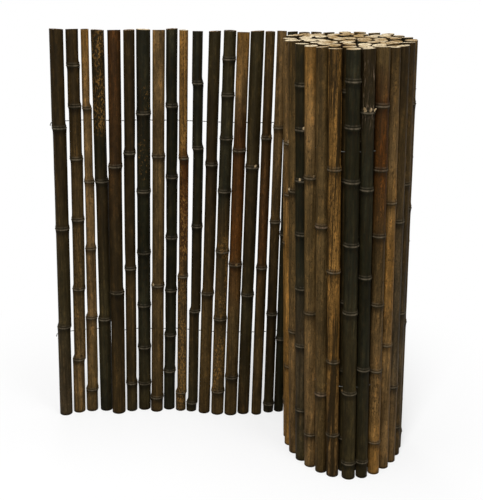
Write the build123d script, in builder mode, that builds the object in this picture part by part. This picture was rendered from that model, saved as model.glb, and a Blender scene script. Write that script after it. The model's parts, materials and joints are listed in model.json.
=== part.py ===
"""A rolled bamboo fence: bored canes threaded on two wires.

The canes stand on their feet. The free end of the fence is a panel along X, and the rest goes
round in a standing roll at the right. Seen from above, the fence runs to the right, turns
towards the viewer and winds inwards, clockwise. Millimetres, +Z up, and the origin is the
middle of the fence's footprint on the floor.
"""

import math
import os
import random
from collections import namedtuple

from build123d import *

os.makedirs("parts", exist_ok=True)

# Canes
fence_height = 914.0  # a three foot fence
sawing_error = 2.0  # the most that a sawn head stands above or below the fence's height
foot_lift = 0.8  # the most that the wires hold a foot off the floor
wall_share = 0.62  # of a culm's radius
diaphragm_thickness = 5.0  # the wall across a culm inside each node
crest_height = 0.9  # how far a node stands out of the culm
crest_length = 3.0
slope_below_crest = 6.5
slope_above_crest = 8.0
levelled_end = 9.0  # the length in which a leaning culm comes level with the floor
cane_kink = 0.2  # sideways step of a culm at each node

# Wires
wire_diameter = 2.2
hole_clearance = 0.4
lower_wire_height = 214.0
upper_wire_height = 717.0
bend_share = 0.75  # of a cane's bore, for the wire's bend inside it
wire_bend_radius = 60.0  # the largest bend radius
wire_tail = 9.0  # the end of a wire, turned down against the first and the last cane
wire_tail_stand_off = 1.6  # clear of the cane's nodes
wire_tail_bend = 2.6

# The panel's free end leans, as its heads stand further to the right than its feet
first_cane_lean = 21.5

# Roll, seen from above: an egg on the centre line of the outer turn, narrower at the front
roll_half_width = 121.0
roll_half_depth = 143.0
roll_narrowing = 0.15
roll_past_panel = 42.5  # from the panel's last cane to the middle of the roll
roll_back = 2.0  # how far the roll's back stands behind the panel's line
roll_lean = -24.0  # where the heads stand along X, seen from the feet
roll_front_lean = -9.0  # further lean of the canes at the front
roll_spacing = 0.4  # clear space between the nodes of canes that lie against each other
second_turn_canes = 21
third_turn_canes = 15
core_canes = 12  # fewer, if no more can lie inside
canes_in_a_bunch = 3

# Inner canes, whose sizes vary between these
inner_cane_diameters = (24.5, 29.5)
inner_internodes = (150.0, 260.0)
inner_canes_seed = 11

PanelCane = namedtuple("PanelCane", "head foot head_gap foot_gap depth bow nodes")
TurnCane = namedtuple("TurnCane", "head foot gap nodes")

# The panel from its free end: diameters at head and foot, the space between this cane's nodes
# and the last cane's at head and foot, depth behind the panel's line, bow and nodes' heights
panel_canes = [
    PanelCane(29.8, 30.0, 0.0, 0.0, -18.0, 4.0, (229, 471, 703)),
    PanelCane(26.8, 27.8, 3.8, 2.1, -4.5, 6.6, (140, 320, 489, 631, 749, 838)),
    PanelCane(16.1, 27.9, 3.0, 2.1, 3.5, 5.2, (57, 245, 417, 577, 743)),
    PanelCane(28.0, 30.3, 2.1, 2.4, 7.0, 4.4, (240, 577)),
    PanelCane(27.8, 32.5, 13.72, 4.17, -6.5, -3.4, (313, 615)),
    PanelCane(24.7, 25.4, 3.3, 0.2, 4.0, -2.2, (74, 369, 643)),
    PanelCane(31.3, 29.2, 1.0, 2.2, 15.0, -0.9, (69, 165, 273, 405, 552, 731)),
    PanelCane(26.8, 29.1, 3.2, 0.2, 6.0, 1.8, (36, 327, 637)),
    PanelCane(25.0, 26.8, 1.2, 0.8, 16.5, 3.4, (102, 197, 311, 442, 586, 748)),
    PanelCane(18.3, 24.3, 1.7, 1.9, 10.0, 4.8, (48, 349, 632)),
    PanelCane(22.5, 24.2, 8.7, 0.2, 6.5, 7.4, (22, 263, 473, 656, 801)),
    PanelCane(25.7, 27.8, 12.2, 3.4, -0.5, 2.4, (311, 621)),
    PanelCane(26.7, 30.1, 5.5, 2.6, -4.5, -0.6, (60, 249, 417, 560, 681, 777, 855)),
    PanelCane(26.6, 30.1, 0.2, 0.2, -6.0, -0.8, (99, 386, 655)),
    PanelCane(29.9, 27.7, 0.2, 0.6, 0.0, -0.7, (309, 616)),
    PanelCane(20.3, 25.3, 0.2, 3.4, -4.0, 0.0, (378, 683)),
    PanelCane(20.4, 24.2, 5.0, 4.5, 7.0, 0.0, (21, 258, 486, 705)),
    PanelCane(22.0, 23.0, 0.2, 0.2, 12.5, 0.0, (192, 455, 690)),
    PanelCane(23.5, 24.5, 0.6, 6.5, 8.0, 0.0, (118, 345, 598, 801)),
    PanelCane(22.5, 24.0, 0.6, 8.6, 3.0, 0.0, (76, 290, 520, 760)),
    PanelCane(24.0, 25.0, 1.4, 8.6, -2.0, 0.0, (160, 410, 655)),
]

# The outer turn from the roll's back, round its right side and front to its left side
outer_turn_canes = [
    TurnCane(25.0, 26.0, 13.0, (132, 380, 640)),
    TurnCane(26.0, 27.0, 3.1, (90, 255, 420, 590, 780)),
    TurnCane(25.0, 26.0, 3.1, (190, 470, 742)),
    TurnCane(27.0, 28.0, 3.1, (60, 330, 610)),
    TurnCane(24.0, 26.0, 3.1, (150, 345, 530, 690, 830)),
    TurnCane(27.0, 27.0, 3.1, (282, 585)),
    TurnCane(26.0, 28.0, 3.1, (104, 298, 486, 672, 815)),
    TurnCane(25.0, 26.0, 3.1, (40, 310, 570, 790)),
    TurnCane(26.0, 26.0, 3.1, (71, 345, 630)),
    TurnCane(26.5, 26.0, 5.2, (185, 558)),
    TurnCane(24.5, 24.5, 5.3, (295, 606)),
    TurnCane(27.5, 25.5, 5.5, (77, 246, 395, 543, 679, 804)),
    TurnCane(25.0, 25.0, 4.4, (37, 255, 459, 642, 794)),
    TurnCane(28.0, 29.0, 0.2, (37, 203, 384, 529, 658, 765, 853)),
    TurnCane(26.5, 26.0, 5.2, (100, 271, 470, 681)),
    TurnCane(25.0, 25.5, 0.2, (188, 560)),
    TurnCane(25.5, 26.5, 3.6, (79, 364, 654)),
    TurnCane(26.5, 28.0, 2.2, (124, 277, 408, 527, 641, 745, 833)),
    TurnCane(27.0, 28.0, 3.0, (297, 611)),
    TurnCane(27.0, 28.0, 6.2, (198, 594, 703)),
    TurnCane(28.0, 28.0, 4.5, (95, 476)),
]

# A cane in its place: where its foot and head stand, its radii there, and its own shape
PlacedCane = namedtuple("PlacedCane", "foot head foot_radius head_radius nodes bow")

nodes_reach = 2 * (crest_height + cane_kink)
panel_length = sum(
    math.sqrt(
        ((a.foot + b.foot) / 2 + nodes_reach + b.foot_gap) ** 2 - (a.depth - b.depth) ** 2
    )
    for a, b in zip(panel_canes, panel_canes[1:])
)
roll_middle = (panel_length + roll_past_panel, roll_back - roll_half_depth)


def place_panel():
    """Stands the panel's canes side by side, their feet and their heads each at their own gaps."""
    placed = []
    foot_x, head_x = 0.0, first_cane_lean
    last = panel_canes[0]
    for cane in panel_canes:
        if placed:
            back = cane.depth - last.depth
            foot_space = (last.foot + cane.foot) / 2 + nodes_reach + cane.foot_gap
            head_space = (last.head + cane.head) / 2 + nodes_reach + cane.head_gap
            foot_x += math.sqrt(foot_space**2 - back**2)
            head_x += math.sqrt(head_space**2 - back**2)
        foot, head = (foot_x, cane.depth), (head_x, cane.depth)
        placed.append(PlacedCane(foot, head, cane.foot / 2, cane.head / 2, cane.nodes, cane.bow))
        last = cane
    return placed


def on_egg(angle):
    """A point of the outer turn, at an angle clockwise from the roll's back."""
    across = roll_half_width * math.sin(angle) * (1 + roll_narrowing * math.cos(angle))
    return (roll_middle[0] + across, roll_middle[1] + roll_half_depth * math.cos(angle))


def inside_egg(point):
    """Whether a point lies within the outer turn's centre line."""
    forward = (point[1] - roll_middle[1]) / roll_half_depth
    if abs(forward) >= 1:
        return False
    half = roll_half_width * math.sqrt(1 - forward**2) * (1 + roll_narrowing * forward)
    return abs(point[0] - roll_middle[0]) <= half


def head_over(foot):
    """Where the head of a cane of the roll stands."""
    front = max(0.0, (roll_middle[1] - foot[1]) / roll_half_depth)
    return (foot[0] + roll_lean + roll_front_lean * front, foot[1])


def place_outer_turn(placed):
    """Walks the outer turn's canes round the egg, each at its own gap from the last."""
    angle = 0.0
    for cane in outer_turn_canes:
        last = placed[-1]
        space = last.foot_radius + cane.foot / 2 + nodes_reach + cane.gap
        near, far = angle, angle + 0.6
        for step in range(40):
            angle = (near + far) / 2
            if math.dist(on_egg(angle), last.foot) < space:
                near = angle
            else:
                far = angle
        foot = on_egg(angle)
        placed.append(PlacedCane(foot, head_over(foot), cane.foot / 2, cane.head / 2, cane.nodes, 0.0))


def at_share(cane, share):
    """A cane's middle at a share of its height, seen from above."""
    return (
        cane.foot[0] + (cane.head[0] - cane.foot[0]) * share,
        cane.foot[1] + (cane.head[1] - cane.foot[1]) * share,
    )


def is_clear(cane, others):
    """Whether a cane stands clear of all the others over its whole height."""
    for other in others:
        if math.dist(cane.foot, other.foot) > 80:
            continue
        for quarter in range(5):
            share = quarter / 4
            own = cane.foot_radius + (cane.head_radius - cane.foot_radius) * share
            its = other.foot_radius + (other.head_radius - other.foot_radius) * share
            apart = math.dist(at_share(cane, share), at_share(other, share))
            if apart < own + its + nodes_reach + roll_spacing - 0.001:
                return False
    return True


def inner_nodes(chance):
    """Heights of an inner cane's nodes, clear of the wires and the ends."""
    heights = []
    height = chance.uniform(30, inner_internodes[0])
    while height < fence_height - 60:
        for wire in (lower_wire_height, upper_wire_height):
            if abs(height + crest_length / 2 - wire) < 16:
                height = wire + 16
        heights.append(height)
        height += chance.uniform(*inner_internodes)
    return tuple(heights)


def place_inner_turns(placed):
    """Winds the rest of the fence inwards, each cane as far out as it can lie."""
    chance = random.Random(inner_canes_seed)
    for number in range(second_turn_canes + third_turn_canes + core_canes):
        last, before = placed[-1], placed[-2]
        foot_radius = chance.uniform(*inner_cane_diameters) / 2
        head_radius = foot_radius - chance.uniform(0.0, 0.8)
        nodes = inner_nodes(chance)
        space = last.foot_radius + foot_radius + nodes_reach + roll_spacing
        travel = math.atan2(last.foot[1] - before.foot[1], last.foot[0] - before.foot[0])
        tries = [(wider, step) for wider in range(6) for step in range(60)]
        for wider, step in tries:
            reach = space + wider
            way = travel + math.radians(100 - 4 * step)
            foot = (last.foot[0] + reach * math.cos(way), last.foot[1] + reach * math.sin(way))
            cane = PlacedCane(foot, head_over(foot), foot_radius, head_radius, nodes, 0.0)
            if inside_egg(foot) and is_clear(cane, placed):
                placed.append(cane)
                break
        else:
            break


def internodes(cane):
    """The straight lengths between a cane's nodes: each one's ends, sideways place and radius."""
    ends = (0.0,) + cane.nodes + (fence_height,)
    lengths = []
    for number, (low, high) in enumerate(zip(ends, ends[1:])):
        share = (low + high) / 2 / fence_height
        sideways = cane.bow * math.sin(math.pi * share) + cane_kink * (number % 2 - 0.5)
        radius = cane.foot_radius + (cane.head_radius - cane.foot_radius) * share
        lengths.append((low, high, sideways, radius))
    return lengths


def middle_at(cane, height):
    """A cane's middle at a height, with its bow and kinks, and its radius there."""
    x, y = at_share(cane, height / fence_height)
    for low, high, sideways, radius in internodes(cane):
        if low <= height <= high:
            return (x + sideways, y), radius


def across(cane, height, sideways=0.0):
    """The plane square across a leaning cane at a height."""
    x, y = at_share(cane, height / fence_height)
    way = Vector(cane.head[0] - cane.foot[0], cane.head[1] - cane.foot[1], fence_height).normalized()
    side = Vector(way.Z, 0, -way.X).normalized()
    return Plane(origin=Vector(x, y, height) + side * sideways, x_dir=side, z_dir=way)


def level(cane, height, sideways):
    """The level plane at a cane's foot or head."""
    x, y = at_share(cane, height / fence_height)
    return Plane(origin=(x + sideways, y, height), x_dir=(1, 0, 0), z_dir=(0, 0, 1))


def disc(plane, radius):
    """A round face on a plane."""
    with BuildSketch(plane) as sketch:
        Circle(radius)
    return sketch.sketch.face()


def outside(cane, foot_height, head_height):
    """The faces through which a culm's outside runs, from its foot to its head."""
    lengths = internodes(cane)
    first, last = lengths[0], lengths[-1]
    faces = [disc(level(cane, foot_height, first[2]), first[3])]
    faces.append(disc(across(cane, foot_height + levelled_end, first[2]), first[3]))
    for below, above in zip(lengths, lengths[1:]):
        node = below[1]
        crest = below[3] + crest_height
        faces.append(disc(across(cane, node - slope_below_crest, below[2]), below[3]))
        faces.append(disc(across(cane, node, below[2]), crest))
        faces.append(disc(across(cane, node + crest_length, above[2]), crest))
        faces.append(disc(across(cane, node + crest_length + slope_above_crest, above[2]), above[3]))
    faces.append(disc(across(cane, head_height - levelled_end, last[2]), last[3]))
    faces.append(disc(level(cane, head_height, last[2]), last[3]))
    return faces


def hollows(cane):
    """The chambers of a culm, open at its foot and head and closed at each node."""
    lengths = internodes(cane)
    chambers = []
    for low, high, sideways, radius in lengths:
        start = low - 5 if low == 0 else low + (crest_length + diaphragm_thickness) / 2
        end = high + 10 if high == fence_height else high + (crest_length - diaphragm_thickness) / 2
        bore = disc(across(cane, start, sideways), radius * (1 - wall_share))
        way = across(cane, start).z_dir
        chambers.append(extrude(bore, amount=(end - start) / way.Z, dir=way, mode=Mode.PRIVATE))
    return chambers


def bored_cane(cane, holes):
    """Makes a cane in its place, with a hole towards each place where a wire comes from."""
    chance = random.Random(round(cane.foot[0] * 10))
    foot_height = max(0.0, chance.uniform(-foot_lift, foot_lift))
    head_height = fence_height + chance.uniform(-sawing_error, sawing_error)
    loft(outside(cane, foot_height, head_height), ruled=True)
    bores = hollows(cane)
    for height, way in holes:
        (x, y), radius = middle_at(cane, height)
        mouth = disc(Plane(origin=(x, y, height), z_dir=way), wire_diameter / 2 + hole_clearance)
        bores.append(extrude(mouth, amount=radius + 2 * crest_height, dir=way, mode=Mode.PRIVATE))
    add(bores, mode=Mode.SUBTRACT)


def wire_ends(height):
    """Where a wire leaves the fence: straight on past the first cane, and into the core's gap."""
    reach = crest_height + wire_tail_stand_off + wire_diameter / 2
    (x, y), radius = middle_at(canes[0], height)
    after, _ = middle_at(canes[1], height)
    way = math.atan2(y - after[1], x - after[0])
    first = (x + (radius + reach) * math.cos(way), y + (radius + reach) * math.sin(way))
    (x, y), radius = middle_at(canes[-1], height)
    before, _ = middle_at(canes[-2], height)
    onward = math.atan2(y - before[1], x - before[0])
    best = None
    for turn in range(-75, 76, 5):
        way = onward + math.radians(turn)
        end = (x + (radius + reach) * math.cos(way), y + (radius + reach) * math.sin(way))
        room = min(math.dist(end, at_share(cane, height / fence_height)) for cane in canes[:-1])
        if best is None or room > best[0]:
            best = (room, end)
    return first, best[1]


def wire_holes(height):
    """The ways, level, in which a wire's holes leave the middle of each cane."""
    first, last = wire_ends(height)
    middles = [first] + [middle_at(cane, height)[0] for cane in canes] + [last]
    ways = []
    for before, own, after in zip(middles, middles[1:], middles[2:]):
        ways.append([(p[0] - own[0], p[1] - own[1], 0.0) for p in (before, after)])
    return ways


def thread_wire(height):
    """Threads a wire through every cane, and turns its ends down."""
    first, last = wire_ends(height)
    middles = [middle_at(cane, height) for cane in canes]
    route = [(first[0], first[1], height - wire_tail), (first[0], first[1], height)]
    bends = [wire_tail_bend]
    path = [first] + [middle for middle, radius in middles] + [last]
    for number in range(2, len(path) - 1):
        before, own, after = path[number - 1], path[number], path[number + 1]
        turn = math.atan2(after[1] - own[1], after[0] - own[0])
        turn -= math.atan2(own[1] - before[1], own[0] - before[0])
        half = abs(math.remainder(turn, 2 * math.pi)) / 2
        room = bend_share * middles[number - 1][1] * (1 - wall_share)
        if half > 0.001:
            route.append((own[0], own[1], height))
            bends.append(min(wire_bend_radius, room / math.tan(half)))
    route += [(last[0], last[1], height), (last[0], last[1], height - wire_tail)]
    bends.append(wire_tail_bend)
    with BuildLine() as line:
        FilletPolyline(*route, radius=bends)
    end = disc(Plane(origin=line.line @ 0, z_dir=line.line % 0), wire_diameter / 2)
    sweep(end, path=line.line)


canes = place_panel()
place_outer_turn(canes)
place_inner_turns(canes)

# Origin: the middle of the footprint of all the canes and the free ends of the wires
edges = []
for cane in canes:
    for low, high, sideways, radius in internodes(cane):
        edges.append((at_share(cane, low / fence_height), radius + crest_height))
        edges.append((at_share(cane, high / fence_height), radius + crest_height))
middle_x = (min(p[0] - r for p, r in edges) + max(p[0] + r for p, r in edges)) / 2
middle_y = (min(p[1] - r for p, r in edges) + max(p[1] + r for p, r in edges)) / 2
canes = [
    cane._replace(
        foot=(cane.foot[0] - middle_x, cane.foot[1] - middle_y),
        head=(cane.head[0] - middle_x, cane.head[1] - middle_y),
    )
    for cane in canes
]

# Each cane's holes, two for each wire
lower_ways = wire_holes(lower_wire_height)
upper_ways = wire_holes(upper_wire_height)
holes = [
    [(lower_wire_height, way) for way in low] + [(upper_wire_height, way) for way in high]
    for low, high in zip(lower_ways, upper_ways)
]

# Panel, cane by cane from its free end
for number in range(len(panel_canes)):
    with BuildPart() as panel_cane:
        bored_cane(canes[number], holes[number])
    panel_cane.part.label = f"panel_cane_{number + 1:02d}"
    export_step(panel_cane.part, f"parts/panel_cane_{number + 1:02d}.step")

# Outer turn of the roll, cane by cane from the back
for number in range(len(outer_turn_canes)):
    place = len(panel_canes) + number
    with BuildPart() as turn_cane:
        bored_cane(canes[place], holes[place])
    turn_cane.part.label = f"outer_turn_cane_{number + 1:02d}"
    export_step(turn_cane.part, f"parts/outer_turn_cane_{number + 1:02d}.step")

# The turns inside it, in bunches of canes that follow each other
start = len(panel_canes) + len(outer_turn_canes)
for turn, count in (
    ("second_turn", second_turn_canes),
    ("third_turn", third_turn_canes),
    ("core", core_canes),
):
    stop = min(start + count, len(canes))
    for number, place in enumerate(range(start, stop, canes_in_a_bunch), 1):
        culms = []
        for own in range(place, min(place + canes_in_a_bunch, stop)):
            with BuildPart() as culm:
                bored_cane(canes[own], holes[own])
            culms.append(culm.part)
        with BuildPart() as bunch:
            add(culms)
        bunch.part.label = f"{turn}_canes_{number}"
        export_step(bunch.part, f"parts/{turn}_canes_{number}.step")
    start = stop

# Wires
with BuildPart() as lower_wire:
    thread_wire(lower_wire_height)
lower_wire.part.label = "lower_wire"
export_step(lower_wire.part, "parts/lower_wire.step")

with BuildPart() as upper_wire:
    thread_wire(upper_wire_height)
upper_wire.part.label = "upper_wire"
export_step(upper_wire.part, "parts/upper_wire.step")
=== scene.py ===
"""The looks of a rolled bamboo fence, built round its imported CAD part.

Every culm is read from its CAD solid and made again with real nodes, grooves and sawn ends,
and each wire becomes two twisted strands. Metres, in the frame of the CAD.
"""

from __future__ import annotations

import json
import logging
import math
from collections.abc import Callable
from dataclasses import dataclass, field, replace
from enum import Enum

import bpy
import numpy as np
from bpy.types import ID, Material, Mesh, Node, NodeSocket, NodeTree, Object
from mathutils import Matrix, Vector


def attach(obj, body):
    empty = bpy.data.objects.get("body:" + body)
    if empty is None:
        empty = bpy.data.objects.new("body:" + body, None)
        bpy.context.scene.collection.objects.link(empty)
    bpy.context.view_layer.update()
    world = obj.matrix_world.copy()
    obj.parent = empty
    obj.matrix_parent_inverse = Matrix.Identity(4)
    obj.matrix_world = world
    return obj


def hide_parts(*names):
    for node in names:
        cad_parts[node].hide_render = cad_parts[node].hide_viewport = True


log = logging.getLogger("bamboo_fence")

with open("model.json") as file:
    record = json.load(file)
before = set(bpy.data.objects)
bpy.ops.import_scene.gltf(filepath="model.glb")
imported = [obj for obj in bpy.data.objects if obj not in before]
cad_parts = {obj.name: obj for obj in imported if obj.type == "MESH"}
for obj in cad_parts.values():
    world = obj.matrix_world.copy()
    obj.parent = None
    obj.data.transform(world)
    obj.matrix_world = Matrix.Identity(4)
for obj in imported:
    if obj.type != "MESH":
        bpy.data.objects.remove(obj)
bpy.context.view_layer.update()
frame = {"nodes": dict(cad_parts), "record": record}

MILLIMETRE = 0.001
MICRONS_IN_METRE = 1e6
FENCE_HEIGHT = 0.914
WHOLE_CULM = 0.9 * FENCE_HEIGHT


class Tone(Enum):
    """The colours of bamboo, as the eye sees them, from 0 to 255."""

    BLACK = (26, 25, 16)
    GREEN_BLACK = (36, 35, 26)
    DARK_OLIVE = (48, 42, 27)
    DARK_BROWN = (45, 36, 22)
    SOOT_BROWN = (38, 30, 18)
    RED_BROWN = (60, 40, 22)
    RUST = (74, 46, 20)
    BROWN = (62, 49, 29)
    GREY_BROWN = (66, 56, 41)
    OLIVE = (75, 60, 37)
    TAN = (97, 76, 48)
    GOLD = (120, 88, 46)
    STRAW = (160, 132, 88)
    DUST = (88, 80, 66)
    ASH = (108, 92, 76)
    BONE = (168, 146, 112)
    CREAM = (226, 208, 172)
    PITH = (120, 92, 58)
    STEEL = (128, 128, 124)
    DULL_STEEL = (70, 70, 68)

    @property
    def linear(self) -> tuple[float, float, float, float]:
        """The tone as the shaders need it."""
        return tuple((part / 255) ** 2.2 for part in self.value) + (1.0,)


def operator(operation: str) -> Callable[[Quantity, Quantity | float], Quantity]:
    """Makes a Python operator of a Math node's operation."""
    return lambda self, other: self.math(operation, other)


@dataclass(frozen=True)
class Quantity:
    """A socket's value in a node tree, so that sums of it are written as Python."""

    tree: NodeTree
    socket: NodeSocket

    def math(self, operation: str, *others: Quantity | float) -> Quantity:
        """Adds a Math node. The others follow this value in the node's order."""
        return Wiring(self.tree).node("ShaderNodeMath", {"operation": operation}, [self, *others])

    __add__ = __radd__ = operator("ADD")
    __mul__ = __rmul__ = operator("MULTIPLY")
    __sub__ = operator("SUBTRACT")
    __truediv__ = operator("DIVIDE")

    def __neg__(self) -> Quantity:
        """This turned about zero."""
        return self * -1.0

    def __rsub__(self, other: float) -> Quantity:
        """The other less this."""
        return -self + other

    def bell(self, middle: float, width: float) -> Quantity:
        """A soft hump of height 1 round a middle, which falls to about a third at the width from there."""
        off = (self - middle) / width
        return (-(off * off)).math("EXPONENT")

    def step(self, low: float, high: float) -> Quantity:
        """A soft step from 0 at low to 1 at high, or back where low is above high."""
        settings = {"interpolation_type": "SMOOTHSTEP"}
        turned = low > high
        ends = [high, low] if turned else [low, high]
        rise = Wiring(self.tree).node("ShaderNodeMapRange", settings, [self, *ends, 0.0, 1.0])
        return 1.0 - rise if turned else rise


@dataclass(frozen=True)
class Wiring:
    """Adds nodes to a tree and links them."""

    tree: NodeTree

    POINTS = {"data_type": "FLOAT", "domain": "POINT"}

    def node(
        self,
        kind: str,
        settings: dict[str, object] | None = None,
        values: list[object] | dict[str | int, object] | None = None,
        result: str | int = 0,
    ) -> Quantity:
        """Adds one node.

        Args:
            kind: The node's type.
            settings: Its own settings, which are set before its sockets.
            values: Values or links of its sockets, in order or by name.
            result: The socket that is wanted from it.

        Returns:
            The wanted socket.
        """
        made = self.tree.nodes.new(kind)
        for name, value in (settings or {}).items():
            setattr(made, name, value)
        self.fill(made, values or [])
        return Quantity(self.tree, made.outputs[result])

    def fill(self, made: Node, values: list[object] | dict[str | int, object]) -> None:
        """Sets or links a node's sockets.

        Args:
            made: The node.
            values: Values or links of its sockets, in order or by name.
        """
        for name, value in values.items() if isinstance(values, dict) else enumerate(values):
            if isinstance(value, Quantity):
                self.tree.links.new(value.socket, made.inputs[name])
            else:
                made.inputs[name].default_value = value

    def vector(self, operation: str, first: object, second: object) -> Quantity:
        """Adds a Vector Math node. The second value is a factor where the operation is SCALE."""
        values = {0: first, 3 if operation == "SCALE" else 1: second}
        return self.node("ShaderNodeVectorMath", {"operation": operation}, values)

    def ramp(self, place: Quantity, stops: list[tuple[float, tuple]]) -> Quantity:
        """Adds a colour ramp.

        Args:
            place: Where on the ramp the colour is taken.
            stops: Place and colour of each stop, from the lowest.

        Returns:
            The colour.
        """
        colour = self.node("ShaderNodeValToRGB", {}, [place])
        elements = colour.socket.node.color_ramp.elements
        while len(elements) > 1:
            elements.remove(elements[-1])
        for number, (at, tone) in enumerate(stops):
            stop = elements[0] if number == 0 else elements.new(at)
            stop.position = at
            stop.color = tone
        return colour

    def blend(self, share: Quantity | float, low: object, high: object) -> Quantity:
        """Mixes two colours. The share is how much of the second shows."""
        return self.node("ShaderNodeMix", {"data_type": "RGBA"}, {0: share, 6: low, 7: high}, 2)

    def cover(self, colour: Quantity, *layers: tuple[Quantity, Tone]) -> Quantity:
        """Covers a colour with tones, one over another.

        Args:
            colour: The colour.
            layers: How much of each tone shows, and the tone.

        Returns:
            The covered colour.
        """
        for share, tone in layers:
            colour = self.blend(share, colour, tone.linear)
        return colour

    def noise(self, place: Quantity, stretch: tuple, detail: float = 3.0, rough: float = 0.55) -> Quantity:
        """A noise on stretched coordinates.

        Args:
            place: The coordinates.
            stretch: Waves in a metre along each axis.
            detail: The noise's detail.
            rough: The noise's roughness.

        Returns:
            The noise, mostly between 0.3 and 0.7.
        """
        scaled = self.vector("MULTIPLY", place, stretch)
        values = {"Vector": scaled, "Scale": 1.0, "Detail": detail, "Roughness": rough}
        return self.node("ShaderNodeTexNoise", {}, values)

    def store(self, made: Quantity, name: str, value: Quantity | float) -> Quantity:
        """Keeps a value of a geometry's points under a name."""
        values = {"Geometry": made, "Name": name, "Value": value}
        return self.node("GeometryNodeStoreNamedAttribute", self.POINTS, values)

    def dress(self, looks: dict[str, object]) -> None:
        """Sets or links sockets of the material's principled shader."""
        self.fill(self.tree.nodes["Principled BSDF"], looks)

    def coat(self, made: Quantity, material: Quantity) -> Quantity:
        """Makes a geometry's instances real and gives it a material."""
        made = self.node("GeometryNodeRealizeInstances", {}, [made])
        return self.node("GeometryNodeSetMaterial", {}, {"Geometry": made, "Material": material})


def add(name: str, data: ID) -> Object:
    """Makes an object of some data and adds it to the scene."""
    made = bpy.data.objects.new(name, data)
    bpy.context.scene.collection.objects.link(made)
    return made


def new_material(name: str) -> tuple[Material, Wiring, Quantity]:
    """Makes a material with an empty principled shader.

    Args:
        name: The material's name.

    Returns:
        The material, its tree's wiring and the place in the object that is shaded.
    """
    material = bpy.data.materials.new(name)
    material.use_nodes = True
    wiring = Wiring(material.node_tree)
    return material, wiring, wiring.node("ShaderNodeTexCoord", result="Object")


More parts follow.
